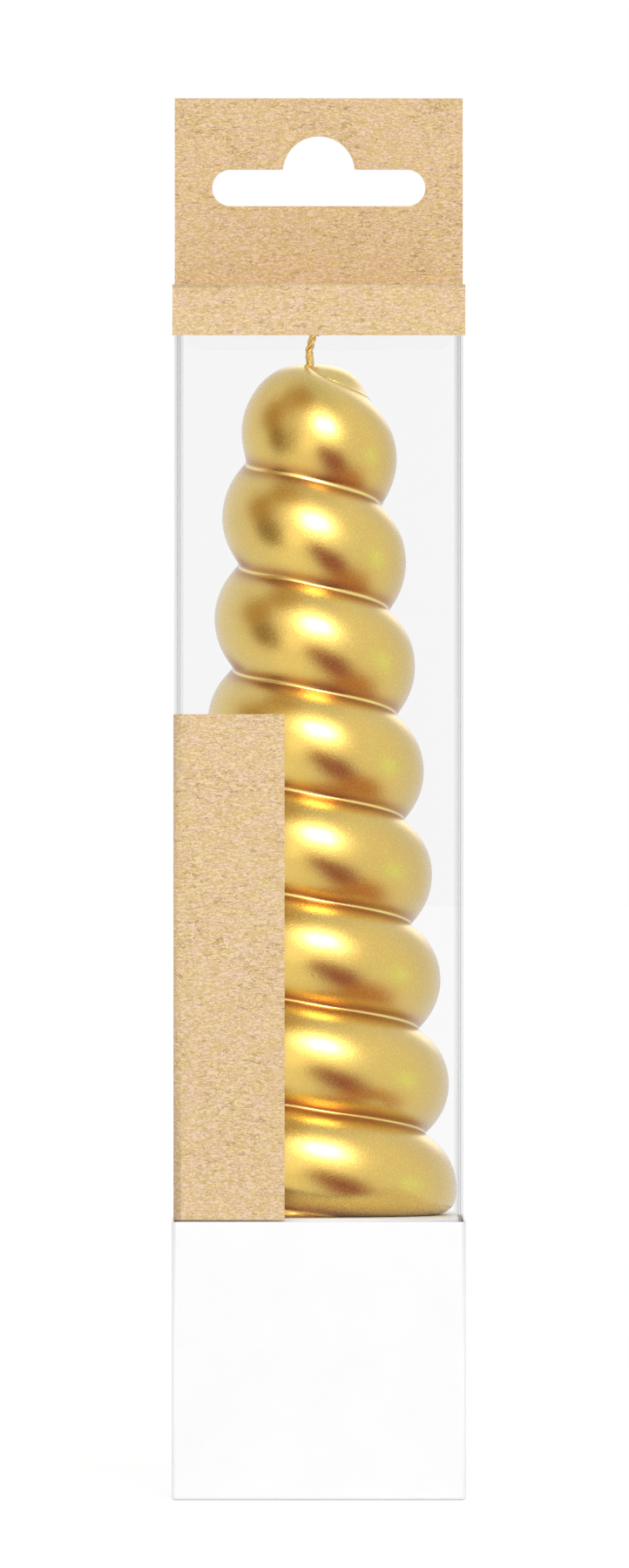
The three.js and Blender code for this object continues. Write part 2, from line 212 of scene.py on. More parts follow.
class Colours(bpy.types.PropertyGroup):
    """The colours of the materials."""

    gold: colour("Gold", "Metallic lacquer", 228, 193, 84)
    # The flake colour also paints the highlight along each groove's bottom, and the deep gold also
    # paints the shade beside the grooves.
    gold_flake_and_highlight: colour("Gold flake", "The paler flakes in the lacquer", 248, 224, 128)
    gold_deep_and_shade: colour("Deep gold", "Lacquer that has pooled in the grooves", 192, 134, 16)
    wick: colour("Wick", "Waxed and gilded cotton", 250, 222, 142)
    wick_deep: colour("Deep wick", "The wick between its strands", 206, 156, 70)
    clear: colour("Clear sheet", "Clear plastic", 140, 142, 146)
    white: colour("White card", "Coated card", 250, 250, 251)
    white_shade: colour("White card, shade", "Its faintly greyer clouds", 241, 241, 243)
    kraft: colour("Kraft", "Unbleached card", 235, 208, 161)
    kraft_pink: colour("Kraft, pink", "Rosy fibres", 237, 206, 180)
    kraft_ochre: colour("Kraft, ochre", "The hollows between the fibres", 203, 168, 101)
    kraft_fleck: colour("Kraft fleck", "Dark flecks", 164, 132, 72)


class SkyColours(bpy.types.PropertyGroup):
    """What the gold mirrors: a pale studio with a few dim corners and bright panels."""

    room: colour("Room", "The pale walls of the studio", 247, 245, 240)
    ceiling: colour("Ceiling", "The studio's duller ceiling", 219, 220, 218)
    glow: colour("Glow", "The wall round the soft box", 255, 250, 232)
    glow_strength: share("Glow strength", "How bright the wall round the soft box is", 1.5)
    streak_strength: share("Streak strength", "How bright the pale wall under it is", 1.12)
    back: colour("Back", "The wall behind the box", 232, 234, 243)
    olive: colour("Olive", "A dim corner at the left", 144, 112, 16)
    amber: colour("Amber", "The warm wall over that corner", 186, 148, 60)
    umber: colour("Umber", "A dark red-brown corner at the lower right", 146, 50, 4)
    rust: colour("Rust", "The warm floor between that corner and the box", 196, 132, 62)
    leaf: colour("Leaf", "A small greenish panel at the right", 206, 240, 190)
    leaf_strength: share("Leaf strength", "How bright the greenish panel is", 1.5)
    window: colour("Window", "A pale window at the left", 240, 243, 255)
    window_strength: share("Window strength", "How bright that window is", 1.02)
    panel_strength: share("Panel strength", "How bright the panel behind the box is", 1.6)


class StageSettings(bpy.types.PropertyGroup):
    """The camera, the lights and the floor."""

    distance: length("Camera distance", "From the lens to the middle of the box", 2500)
    side: length("Camera side", "The camera's place across the box", -0.64)
    height: length("Camera height", "The camera's height over the floor", 105.6)
    view_height: length("View height", "Height of the picture at the box's front", 231.3)
    sky: share("Sky", "Strength of the even light from all round", 0.72)
    key: share("Key light", "Power of the key light over the front", 5.4)
    key_size: length("Key size", "Width and height of the key light", 700)
    key_distance: length("Key distance", "From the key light to the middle of the box", 1300)
    softbox: share("Soft box", "Power of the soft box that the gold mirrors", 9.0)
    softbox_width: length("Soft box width", "Width of the soft box", 600)
    softbox_height: length("Soft box height", "Height of the soft box", 420)
    softbox_distance: length("Soft box distance", "From it to the middle of the box", 1200)
    light_side: angle("Light side", "How far both are turned to the camera's right", 8)
    light_rise: angle("Light rise", "How high both stand", 25)
    floor_radius: length("Floor radius", "Radius of the floor", 12000)
    floor_reflects: share("Floor reflects", "Share of light that the seen floor gives back", 0.5)
    floor_near_glow: share("Near glow", "The floor's own light near the object", 0.62)
    floor_far_glow: share("Far glow", "The floor's own light far from it, where no lamp adds", 0.67)


class HornCandle(bpy.types.PropertyGroup):
    """All settings of the candle and its box."""

    horn: PointerProperty(type=HornSizes)
    wick: PointerProperty(type=WickSizes)
    box: PointerProperty(type=BoxSizes)
    slot: PointerProperty(type=SlotSizes)
    colours: PointerProperty(type=Colours)
    sky: PointerProperty(type=SkyColours)
    stage: PointerProperty(type=StageSettings)


class Socket:
    """One output of a node. Python's operators join it to others with Math nodes."""

    def __init__(self, nodes, output):
        self.nodes = nodes
        self.output = output

    def maths(self, operation, *values):
        """A Math node on this socket and up to two values."""
        inputs = dict(enumerate((self, *values)))
        return self.nodes.add("ShaderNodeMath", {"operation": operation}, inputs)

    def __add__(self, other):
        return self.maths("ADD", other)

    def __radd__(self, other):
        return self.maths("ADD", other)

    def __mul__(self, other):
        return self.maths("MULTIPLY", other)

    def __rmul__(self, other):
        return self.maths("MULTIPLY", other)

    def __sub__(self, other):
        return self.maths("SUBTRACT", other)

    def __rsub__(self, other):
        return self.nodes.add("ShaderNodeMath", {"operation": "SUBTRACT"}, {0: other, 1: self})

    def __pow__(self, other):
        return self.maths("POWER", other)


class Nodes:
    """A node tree, with one method that adds a node to it."""

    def __init__(self, tree):
        self.tree = tree
        tree.nodes.clear()

    def add(self, kind, settings=None, inputs=None, output=0):
        """A node of this type, with its settings made first and then its sockets."""
        node = self.tree.nodes.new(kind)
        for name, value in (settings or {}).items():
            setattr(node, name, value)
        for name, value in (inputs or {}).items():
            socket = self.find(node.inputs, name)
            if isinstance(value, Socket):
                self.tree.links.new(value.output, socket)
            elif socket.type == "RGBA":
                socket.default_value = (*value[:3], 1)
            else:
                socket.default_value = value
        outputs = [socket for socket in node.outputs if socket.enabled]
        return Socket(self, self.find(outputs, output)) if outputs else None

    @staticmethod
    def find(sockets, name):
        """The socket in use that has this name or this place in the row."""
        shown = [socket for socket in sockets if socket.enabled]
        if isinstance(name, int):
            return shown[name]
        return next(socket for socket in shown if socket.name == name)

    def object_place(self):
        """The point on the surface, in the object's own frame."""
        return self.add("ShaderNodeTexCoord", output="Object")

    def stretched(self, place, scale):
        """A place with its axes scaled, so that a pattern on it is stretched."""
        inputs = {"Vector": place, "Scale": scale}
        return self.add("ShaderNodeMapping", {"vector_type": "POINT"}, inputs)

    def noise(self, place, scale, detail=2.0, roughness=0.5, distortion=0.0):
        """Soft noise from 0 to 1."""
        inputs = {
            "Vector": place,
            "Scale": scale,
            "Detail": detail,
            "Roughness": roughness,
            "Distortion": distortion,
        }
        return self.add("ShaderNodeTexNoise", {}, inputs, "Fac")

    def smooth_step(self, value, low, high):
        """0 below low, 1 over high, and a smooth climb between them."""
        inputs = {"Value": value, "From Min": low, "From Max": high}
        return self.add("ShaderNodeMapRange", {"interpolation_type": "SMOOTHSTEP"}, inputs)

    def mixed(self, factor, first, second):
        """The first colour where the factor is 0, and the second where it is 1."""
        inputs = {"Factor": factor, "A": first, "B": second}
        return self.add("ShaderNodeMix", {"data_type": "RGBA"}, inputs)

    def sight_ray(self):
        """1 on rays from the camera, straight or through glass, and 0 on others."""
        through = self.add("ShaderNodeLightPath", output="Is Transmission Ray")
        return through.maths("MAXIMUM", self.add("ShaderNodeLightPath", output="Is Camera Ray"))

    def bump(self, height, distance, strength=1.0):
        """A normal from a height of 0 to 1 that stands for this distance."""
        inputs = {"Height": height, "Distance": distance, "Strength": strength}
        return self.add("ShaderNodeBump", {}, inputs)


def new_material(name):
    """A material and its empty node tree."""
    material = bpy.data.materials.new(name)
    material.use_nodes = True
    return material, Nodes(material.node_tree)


def finish_surface(nodes, inputs):
    """Ends a material in one shader with these values."""
    shader = nodes.add("ShaderNodeBsdfPrincipled", {}, inputs)
    nodes.add("ShaderNodeOutputMaterial", {}, {"Surface": shader})


def gold_lacquer(colours):
    """Gold lacquer on wax: pale flakes, small pits, faint scratches and painted light at the
    grooves.

    Beside a groove the colour is darkened as painted shade, and along its very bottom it is
    paler as a painted highlight.
    """
    material, nodes = new_material("gold_lacquer")
    place = nodes.object_place()
    groove = nodes.add("ShaderNodeAttribute", {"attribute_name": "groove"}, {}, "Fac")
    flakes = nodes.noise(place, 3600, detail=2, roughness=0.75)
    clouds = nodes.noise(place, 120, detail=3)
    pits = nodes.smooth_step(nodes.noise(place, 700, detail=0), 0.2, 0.16)
    scratches = nodes.noise(nodes.stretched(place, (90, 90, 2600)), 1, detail=2, roughness=0.7)
    # Painted highlight: 1 along each groove's very bottom, where the colour is made pale.
    bottom = nodes.smooth_step(groove, 0.74, 0.9)
    # Painted shade: the colour beside each groove, short of its bottom, is darkened.
    painted_groove_shade = groove * (1 - bottom)
    tone = nodes.mixed(nodes.smooth_step(clouds, 0.35, 0.75) * 0.12, colours.gold, colours.gold_deep_and_shade)
    tone = nodes.mixed(nodes.smooth_step(flakes, 0.52, 0.7) * 0.6, tone, colours.gold_flake_and_highlight)
    # The painted shade beside the grooves, then the painted highlight along their bottoms.
    tone = nodes.mixed(nodes.smooth_step(painted_groove_shade, 0.12, 0.6), tone, colours.gold_deep_and_shade)
    tone = nodes.mixed(bottom * 0.8, tone, colours.gold_flake_and_highlight)
    relief = flakes + clouds * 0.4 + scratches * 0.12 - pits * 0.5
    finish_surface(
        nodes,
        {
            "Base Color": tone,
            "Metallic": 1.0,
            "Roughness": flakes * 0.12 + clouds * 0.06 + 0.19,
            "Coat Weight": 0.8,
            "Coat Roughness": 0.28,
            "Coat IOR": 1.8,
            "Normal": nodes.bump(relief, 0.02 * MM),
        },
    )
    return material


def waxed_wick(colours):
    """Cotton strands under wax and gold."""
    material, nodes = new_material("waxed_wick")
    place = nodes.object_place()
    fibres = nodes.noise(nodes.stretched(place, (5200, 5200, 1100)), 1, detail=3, roughness=0.6)
    tone = nodes.mixed(nodes.smooth_step(fibres, 0.3, 0.6), colours.wick_deep, colours.wick)
    finish_surface(
        nodes,
        {
            "Base Color": tone,
            "Metallic": 0.6,
            "Roughness": fibres * 0.3 + 0.24,
            "Normal": nodes.bump(fibres, 0.06 * MM),
        },
    )
    return material


def clear_plastic(name, colours, haze):
    """Clear sheet: nearly unseen face on, and grey where its creases and edges turn away."""
    material, nodes = new_material(name)
    place = nodes.object_place()
    crease = nodes.add("ShaderNodeAttribute", {"attribute_name": "crease"}, {}, "Fac")
    facing = nodes.add("ShaderNodeLayerWeight", {}, {"Blend": 0.5}, "Facing")
    ripples = nodes.noise(place, 45, detail=1)
    finish_surface(
        nodes,
        {
            "Base Color": colours.clear,
            "Roughness": 0.08,
            "Specular IOR Level": 0.3,
            "Alpha": crease * (facing ** 2 * 0.4 + 0.06) + facing ** 5 * 0.12 + haze,
            "Normal": nodes.bump(ripples, 0.15 * MM),
        },
    )
    return material


def white_card(colours):
    """Coated white card with a faint tooth."""
    material, nodes = new_material("white_card")
    place = nodes.object_place()
    tooth = nodes.noise(place, 2600, detail=3, roughness=0.6)
    cloud = nodes.noise(place, 160, detail=2)
    finish_surface(
        nodes,
        {
            "Base Color": nodes.mixed(cloud * 0.5, colours.white, colours.white_shade),
            "Roughness": tooth * 0.16 + 0.42,
            "Normal": nodes.bump(tooth * 0.6 + cloud * 0.4, 0.02 * MM),
        },
    )
    return material


def kraft_card(name, colours, grain):
    """Kraft card: pale and rosy fibres along the grain, ochre hollows and dark flecks.

    The grain is the pattern's scale along each axis, and is lowest along the fibres.
    """
    material, nodes = new_material(name)
    place = nodes.object_place()
    along = nodes.stretched(place, grain)
    fibres = nodes.noise(along, 1.0, detail=3, roughness=0.6, distortion=0.7)
    threads = nodes.noise(along, 0.6, detail=3, roughness=0.6, distortion=0.8)
    mottle = nodes.noise(along, 0.35, detail=2, roughness=0.5, distortion=0.6)
    drift = nodes.noise(place, 130, detail=2)
    ridges = (fibres - 0.5).maths("ABSOLUTE") * 2
    hollows = nodes.smooth_step(ridges, 0.2, 0.0)
    tone = nodes.mixed(nodes.smooth_step(mottle, 0.4, 0.6), colours.kraft_pink, colours.kraft)
    tone = nodes.mixed(hollows * 0.85, tone, colours.kraft_ochre)
    flecks = hollows * nodes.smooth_step(threads + drift * 0.3, 0.6, 0.52)
    tone = nodes.mixed(flecks * 0.7, tone, colours.kraft_fleck)
    finish_surface(
        nodes,
        {
            "Base Color": tone,
            "Roughness": threads * 0.2 + 0.72,
            "Normal": nodes.bump(ridges, 0.05 * MM),
        },
    )
    return material


def add_piece(name, bm, material, body, nodes=(), smooth=False):
    """Makes a piece of a bmesh: it rides on its body and stands for these nodes.

    Of a folded sheet, only the creases are shaded smooth.
    """
    creased = bm.faces.layers.float.get("crease")
    for face in bm.faces:
        face.smooth = smooth if creased is None else face[creased] > 0
    mesh = bpy.data.meshes.new(name)
    bm.to_mesh(mesh)
    bm.free()
    mesh.materials.append(material)
    piece = bpy.data.objects.new(name, mesh)
    bpy.context.scene.collection.objects.link(piece)
    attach(piece, body)
    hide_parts(*nodes)
    return piece


def dress(node, material):
    """Gives a node that stays as it is a better material."""
    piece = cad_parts[node]
    piece.data.materials.clear()
    piece.data.materials.append(material)
    return piece


def keep_off_gold(item):
    """Keeps a piece or a lamp out of what the gold mirrors."""
    item.visible_glossy = False


def keep_off_light(piece):
    """Lets light pass a clear sheet, so that only the eye meets it."""
    keep_off_gold(piece)
    piece.visible_diffuse = False
    piece.visible_shadow = False


def made_verts(made):
    """The vertices in what a bmesh operator made."""
    return [part for part in made["geom"] if isinstance(part, bmesh.types.BMVert)]


def face_away(bm, inside):
    """Turns the faces so that on the whole they point away from a point inside."""
    outward = sum(
        face.normal.dot(face.calc_center_median() - inside) * face.calc_area()
        for face in bm.faces
    )
    if outward < 0:
        bmesh.ops.reverse_faces(bm, faces=bm.faces[:])


def bevel_edges(bm, edges, radius, steps):
    """Rounds edges with a radius, and marks the new faces as a crease."""
    creased = bm.faces.layers.float.get("crease") or bm.faces.layers.float.new("crease")
    made = bmesh.ops.bevel(
        bm,
        geom=edges,
        offset=radius,
        offset_type="OFFSET",
        segments=steps,
        profile=0.5,
        affect="EDGES",
        material=-1,
    )
    for face in made["faces"]:
        face[creased] = 1


def thicken(bm, thickness):
    """Gives a sheet its thickness on the side that its faces point away from."""
    bmesh.ops.solidify(bm, geom=bm.faces[:], thickness=thickness)
    bmesh.ops.recalc_face_normals(bm, faces=bm.faces[:])


def folded_sheet(corners, rise, crease, steps, thickness, inside, closed=False):
    """A sheet that runs along a row of corners, creased at each, and is as long as the rise."""
    bm = bmesh.new()
    row = [bm.verts.new(corner) for corner in corners]
    pairs = list(zip(row, row[1:]))
    if closed:
        pairs.append((row[-1], row[0]))
    edges = [bm.edges.new(pair) for pair in pairs]
    made = bmesh.ops.extrude_edge_only(bm, edges=edges)
    bmesh.ops.translate(bm, vec=rise, verts=made_verts(made))
    creases = [edge for edge in bm.edges if len(edge.link_faces) == 2]
    if creases:
        bevel_edges(bm, creases, crease, steps)
    bm.normal_update()
    face_away(bm, inside)
    thicken(bm, thickness)
    return bm


def eased_turns(horn, turns):
    """Turns of the thread, which sets off level from the tip."""
    return turns * (1 - math.exp(-turns / horn.start_ease))


def groove_height(horn, turns):
    """Height of the groove over the base, after a number of turns from the tip."""
    eased = eased_turns(horn, turns)
    started = 1 - max(0, 1 - eased / horn.start_turns) ** 2
    leftward = max(0, -math.sin(horn.thread_start + 2 * math.pi * turns))
    sag = (horn.sag + horn.first_sag * math.exp(-turns)) * leftward**2
    return horn.height - (horn.start_drop + sag) * started - horn.thread * eased


def groove_point(horn, base_radius, turns):
    """Radius and height of the groove: a straight taper that closes to a point at the tip."""
    if turns <= 0:
        return Vector((0, horn.height))
    height = groove_height(horn, turns)
    taper = base_radius + (horn.groove_tip_radius - base_radius) * height / horn.height
    eased = eased_turns(horn, turns)
    quick = horn.tip_share * math.exp(-eased / horn.tip_turns)
    slow = (1 - horn.tip_share) * math.exp(-eased / horn.shoulder_turns)
    return Vector((taper * (1 - quick - slow), height))


def bulge_angle(horn, base_radius, turns):
    """The angle at which a lobe's arc leaves its chord. The first lobe is the round tip."""
    radius, height = groove_point(horn, base_radius, turns)
    round_tip = math.atan2(horn.height - height, radius)
    if turns <= 1:
        return round_tip
    down = 1 - max(0, groove_height(horn, turns)) / horn.height
    regular = horn.bulge_tip + (horn.bulge_base - horn.bulge_tip) * down
    settled = min(1, (turns - 1) / horn.settle_turns)
    return round_tip + (regular - round_tip) * settled**2 * (3 - 2 * settled)


def groove_shade_share(horn, turns):
    """0 where the thread starts, and 1 once the painted shade beside its groove is full."""
    return min(1, max(0, turns) / horn.groove_turns) ** 3


def groove_fill(horn, bulge, turns, distance):
    """How far out the rounded groove lies from the sharp one, at a distance from it."""
    down = max(0, turns)
    opened = 1 - math.exp(-down / horn.start_ease)
    full = (horn.fillet + horn.first_fillet * math.exp(-down / horn.start_turns)) * opened
    slope = distance * math.sin(bulge)
    return math.hypot(slope, full) - slope


def knob_swell(horn, turns, along):
    """How far the thread's end swells out at the crown, above its crease and below it."""
    above = math.exp(-(((turns - horn.knob_turns) / horn.knob_spread) ** 2))
    below = math.exp(-(((turns - 1 - horn.knob_turns) / horn.knob_spread) ** 2))
    over_crease = above * (math.sin(math.pi * along) + horn.knob_foot * along)
    return horn.knob * (over_crease + below * horn.knob_foot * (1 - along**2))


def lobe_point(horn, base_radius, turns, along):
    """A point on the lobe between two turns of the groove, and how near to a groove it is."""
    top = groove_point(horn, base_radius, turns - 1)
    bottom = groove_point(horn, base_radius, turns)
    chord = bottom - top
    if chord.length < 1e-9:
        return top, 0
    bulge = bulge_angle(horn, base_radius, turns)
    down = chord.normalized()
    out = Vector((-down.y, down.x))
    radius = chord.length / 2 / math.sin(bulge)
    swing = (2 * along - 1) * bulge
    across = radius * math.sin(swing) + chord.length / 2
    rise = radius * (math.cos(swing) - math.cos(bulge))
    arc = 2 * bulge * radius
    fill = groove_fill(horn, bulge, turns - 1, along * arc) * (1 - along)
    fill += groove_fill(horn, bulge, turns, (1 - along) * arc) * along
    swell = knob_swell(horn, turns, along)
    # How near to a groove: the gold paints shade beside it and a highlight along its bottom.
    nearness = groove_shade_share(horn, turns - 1) * math.exp(-along * arc / horn.pool)
    nearness += groove_shade_share(horn, turns) * math.exp((along - 1) * arc / horn.pool)
    return top + down * across + out * rise + Vector((fill + swell, 0)), nearness


def settle_crown(horn, point):
    """Flattens the crown a little and sinks a dimple round the wick."""
    depth = horn.height - point.z
    height = horn.height - depth * (1 - horn.crown_flatness * math.exp(-depth / horn.crown_depth))
    near_wick = math.exp(-((point.xy.length / horn.dimple_radius) ** 2))
    if height > horn.height / 2:
        height -= horn.dimple * near_wick
    return Vector((point.x, point.y, height))


def round_rim(horn, point):
    """Draws the lowest part in, so that the base has a rounded rim."""
    if point.z >= horn.rim:
        return point
    sunk = horn.rim - max(0, point.z)
    inset = horn.rim - math.sqrt(horn.rim**2 - sunk**2)
    radius = point.xy.length
    return Vector((*(point.xy * (radius - inset) / radius), point.z))


def horn_mesh(horn, base_radius):
    """The horn over its base plane: one lobe's chain, spun down the thread and then shaped."""
    bm = bmesh.new()
    # How near each point is to a groove, from which the gold paints shade and a highlight.
    groove = bm.verts.layers.float.new("groove")
    along = bm.verts.layers.float.new("along")
    start = Vector((math.sin(horn.thread_start), -math.cos(horn.thread_start), 0))
    chain = []
    for step in range(horn.steps + 1):
        share_down = (1 - math.cos(math.pi * step / horn.steps)) / 2
        vert = bm.verts.new(start - Vector((0, 0, share_down)))
        vert[along] = share_down
        chain.append(vert)
    edges = [bm.edges.new(pair) for pair in zip(chain, chain[1:])]
    bmesh.ops.spin(
        bm,
        geom=chain + edges,
        cent=(0, 0, 0),
        axis=(0, 0, 1),
        dvec=(0, 0, -1 / horn.sectors),
        angle=2 * math.pi,
        steps=horn.sectors,
        use_duplicate=False,
    )
    first_turn = bm.verts[:] + bm.edges[:] + bm.faces[:]
    for turn in range(1, math.ceil(horn.height / horn.thread) + 1):
        made = bmesh.ops.duplicate(bm, geom=first_turn)
        bmesh.ops.translate(bm, vec=(0, 0, -turn), verts=made_verts(made))
    for vert in bm.verts:
        turned = -vert.co.z - vert[along]
        (radius, height), vert[groove] = lobe_point(horn, base_radius, turned, vert[along])
        around = horn.thread_start + 2 * math.pi * turned
        place = Vector((radius * math.sin(around), -radius * math.cos(around), height))
        vert.co = settle_crown(horn, place)
    bm.verts.layers.float.remove(along)
    bmesh.ops.remove_doubles(bm, verts=bm.verts[:], dist=0.002 * MM)
    bmesh.ops.recalc_face_normals(bm, faces=bm.faces[:])
    return bm


def cut_base(bm, horn):
    """Cuts the horn flat at its base, rounds the rim and closes the underside."""
    for row in range(1, horn.rim_steps + 1):
        cut_level(bm, horn.rim * (1 - math.cos(math.pi / 2 * row / horn.rim_steps)))
    cut_level(bm, 0, clear_inner=True)
    for vert in bm.verts:
        vert.co = round_rim(horn, vert.co)
    rim = [edge for edge in bm.edges if edge.is_boundary]
    bmesh.ops.holes_fill(bm, edges=rim)
    bmesh.ops.recalc_face_normals(bm, faces=bm.faces[:])


def cut_level(bm, height, clear_inner=False):
    """Cuts a bmesh level at a height, and can remove what is below."""
    bmesh.ops.bisect_plane(
        bm,
        geom=bm.verts[:] + bm.edges[:] + bm.faces[:],
        dist=0.001 * MM,
        plane_co=(0, 0, height),
        plane_no=(0, 0, 1),
        clear_inner=clear_inner,
    )


def wander(bm, amount):
    """Moves the surface in and out by soft noise, as cast wax does."""
    broad, fine = 1 / (14 * MM), 1 / (4 * MM)
    bm.normal_update()
    moves = []
    for vert in bm.verts:
        swell = noise.noise(vert.co * broad) + 0.35 * noise.noise(vert.co * fine)
        moves.append(vert.normal * swell * amount)
    for vert, move in zip(bm.verts, moves):
        vert.co += move


def lean_over(bm, horn):
    """Leans the horn to one side with its base left where it is."""
    for vert in bm.verts:
        vert.co.x += horn.lean * vert.co.z / horn.height


class MakeHorn(bpy.types.Operator):
    """Model the gold horn as one spun thread of lobes"""

    bl_idname = "horncandle.horn"
    bl_label = "Horn"

    def execute(self, context):
        horn = context.scene.horn_candle.horn
        half_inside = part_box("clear_right")[0].x
        bulge_rise = horn.thread / 2 * math.tan(horn.bulge_base / 2)
        base_radius = half_inside - horn.base_slip - bulge_rise
        bm = horn_mesh(horn, base_radius)
        wander(bm, horn.unevenness)
        cut_base(bm, horn)
        lean_over(bm, horn)
        bmesh.ops.translate(bm, vec=(0, 0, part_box("horn_wax")[0].z), verts=bm.verts[:])
        gold = gold_lacquer(context.scene.horn_candle.colours)
        add_piece("horn", bm, gold, "candle", ["horn_wax"], smooth=True)
        return {"FINISHED"}


def smooth_path(points, step):
    """Points a step apart on a smooth curve through a row of points."""
    knots = [points[0] * 2 - points[1], *points, points[-1] * 2 - points[-2]]
    path = [points[0]]
    for before, start, end, after in zip(knots, knots[1:], knots[2:], knots[3:]):
        pieces = max(1, round((end - start).length / step))
        for n in range(1, pieces + 1):
            t = n / pieces
            path.append(
                0.5
                * (
                    2 * start
                    + (end - before) * t
                    + (2 * before - 5 * start + 4 * end - after) * t**2
                    + (3 * start - before - 3 * end + after) * t**3
                )
            )
    return path


def path_frames(path):
    """A turn for each point of a path, which carries the first one along without twisting."""
    frames = []
    turn = Quaternion()
    heading = Vector((0, 0, 1))
    for n, point in enumerate(path):
        ahead = path[min(n + 1, len(path) - 1)] - path[max(n - 1, 0)]
        turn = heading.rotation_difference(ahead) @ turn
        heading = ahead
        frames.append((point, turn))
    return frames


def sweep(bm, places, sides):
    """Sweeps a ring through places, each a point, a turn and a radius, and closes both ends."""
    point, turn, radius = places[0]
    matrix = Matrix.LocRotScale(point, turn, Vector((radius, radius, radius)))
    made = bmesh.ops.create_circle(bm, cap_ends=True, radius=1, segments=sides, matrix=matrix)
    ring = made["verts"]
    for point, turn, radius in places[1:]:
        inside = {edge for vert in ring for edge in vert.link_edges}
        edges = [edge for edge in inside if all(vert in ring for vert in edge.verts)]
        made = bmesh.ops.extrude_edge_only(bm, edges=edges)
        ring = made_verts(made)
        back = matrix.inverted()
        matrix = Matrix.LocRotScale(point, turn, Vector((radius, radius, radius)))
        bmesh.ops.transform(bm, matrix=matrix @ back, verts=ring)
    bmesh.ops.contextual_create(bm, geom=ring)


class MakeWick(bpy.types.Operator):
    """Model the wick as twisted strands, with a coat of wax where it leaves the tip"""

    bl_idname = "horncandle.wick"
    bl_label = "Wick"

    def execute(self, context):
        settings = context.scene.horn_candle
        bm = bmesh.new()
        inside, hook = self.route(settings)
        self.add_core(bm, settings.wick, inside)
        frames = path_frames(smooth_path(hook, settings.wick.step))
        for strand in range(settings.wick.strands):
            self.add_strand(bm, settings.wick, frames, strand)
        self.add_coat(bm, settings)
        bmesh.ops.recalc_face_normals(bm, faces=bm.faces[:])
        cotton = waxed_wick(settings.colours)
        add_piece("wick_strands", bm, cotton, "candle", ["wick"], smooth=True)
        return {"FINISHED"}

    @staticmethod
    def route(settings):
        """The wick's middle: up the leaning horn, and out of its tip into a small hook."""
        horn, wick = settings.horn, settings.wick
        foot = Vector((0, 0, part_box("wick")[0].z))
        tip = Vector((horn.lean, 0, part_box("horn_wax")[0].z + horn.height))
        top = wick.rise - wick.diameter / 2
        hook = [
            (0, 0, -3 * MM),
            (0, 0, 0),
            (-0.15 * MM, 0, 0.3 * top),
            (0.15 * MM, 0, 0.57 * top),
            (0.5 * MM, 0.1 * MM, 0.82 * top),
            (0.7 * MM, 0.8 * MM, top),
            (0.9 * MM, 1.6 * MM, 0.92 * top),
            (0.95 * MM, 1.75 * MM, 0.78 * top),
        ]
        outside = [tip + Vector(place) for place in hook]
        return [foot, foot.lerp(tip, 0.5), outside[1]], outside

    @staticmethod
    def add_core(bm, wick, inside):
        """The wick inside the wax, as one plain cord."""
        frames = path_frames(smooth_path(inside, 10 * wick.diameter))
        radius = wick.diameter * wick.core
        sweep(bm, [(point, turn, radius) for point, turn in frames], wick.sides)

    @staticmethod
    def add_strand(bm, wick, frames, strand):
        """One strand that winds round the wick's middle."""
        strand_radius = wick.diameter / 4
        middle_radius = wick.diameter / 2 - strand_radius
        travelled = 0
        places = []
        before = frames[0][0]
        for point, turn in frames:
            travelled += (point - before).length
            before = point
            around = 2 * math.pi * (travelled / wick.twist + strand / wick.strands)
            offset = Vector((math.cos(around), math.sin(around), 0)) * middle_radius
            places.append((point + turn @ offset, turn, strand_radius))
        sweep(bm, places, wick.sides)

    @staticmethod
    def add_coat(bm, settings):
        """The wax that climbs the wick at the tip and ends in a torn edge."""
        horn, wick = settings.horn, settings.wick
        tip = Vector((horn.lean, 0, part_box("horn_wax")[0].z + horn.height))
        flare_depth, flare_reach, lump = 1.0 * MM, 0.5 * MM, 0.5 * MM
        places = []
        for row in range(wick.coat_rows + 1):
            height = (wick.coat + wick.coat_foot) * row / wick.coat_rows - wick.coat_foot
            flare = wick.coat_flare * math.exp(-(((height + flare_depth) / flare_reach) ** 2))
            end = max(0, row - wick.coat_rows + 2) / 2
            radius = wick.diameter * (wick.coat_share - wick.coat_taper * end) + flare
            lean = wick.coat_lean * max(0, height) / wick.coat
            places.append((tip + Vector((-lean, 0, height)), Quaternion(), radius))
        coat = bmesh.new()
        sweep(coat, places, 2 * wick.sides)
        for vert in coat.verts:
            ragged = noise.noise(vert.co / lump) * wick.coat_tear
            vert.co += Vector((ragged, 0, ragged * 1.5))
        mesh = bpy.data.meshes.new("wax_coat")
        coat.to_mesh(mesh)
        coat.free()
        bm.from_mesh(mesh)
        bpy.data.meshes.remove(mesh)


class MakeSleeve(bpy.types.Operator):
    """Model the clear sleeve as one creased sheet, and dress its flaps and its lid"""

    bl_idname = "horncandle.sleeve"
    bl_label = "Clear Sleeve"

    def execute(self, context):
        settings = context.scene.horn_candle
        low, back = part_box("clear_front")[0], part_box("clear_back")[1]
        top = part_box("clear_left")[1].z
        corners = [(low.x, low.y), (back.x, low.y), (back.x, back.y), (low.x, back.y)]
        bm = folded_sheet(
            [(*corner, low.z) for corner in corners],
            (0, 0, top - low.z),
            settings.box.clear_crease,
            settings.box.crease_steps,
            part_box("clear_right")[1].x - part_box("clear_right")[0].x,
            Vector((0, 0, (low.z + top) / 2)),
            closed=True,
        )
        colours, box = settings.colours, settings.box
        plastic = clear_plastic("clear_plastic", colours, box.sleeve_haze)
        flap_plastic = clear_plastic("clear_flap_plastic", colours, box.flap_haze)
        walls = ["clear_front", "clear_back", "clear_left", "clear_right"]
        keep_off_light(add_piece("clear_sleeve", bm, plastic, "cover", walls))
        for flap in ["glue_flap", "lid_panel", "lid_tuck", "dust_flap_left", "dust_flap_right"]:
            keep_off_light(dress(flap, flap_plastic))
        return {"FINISHED"}


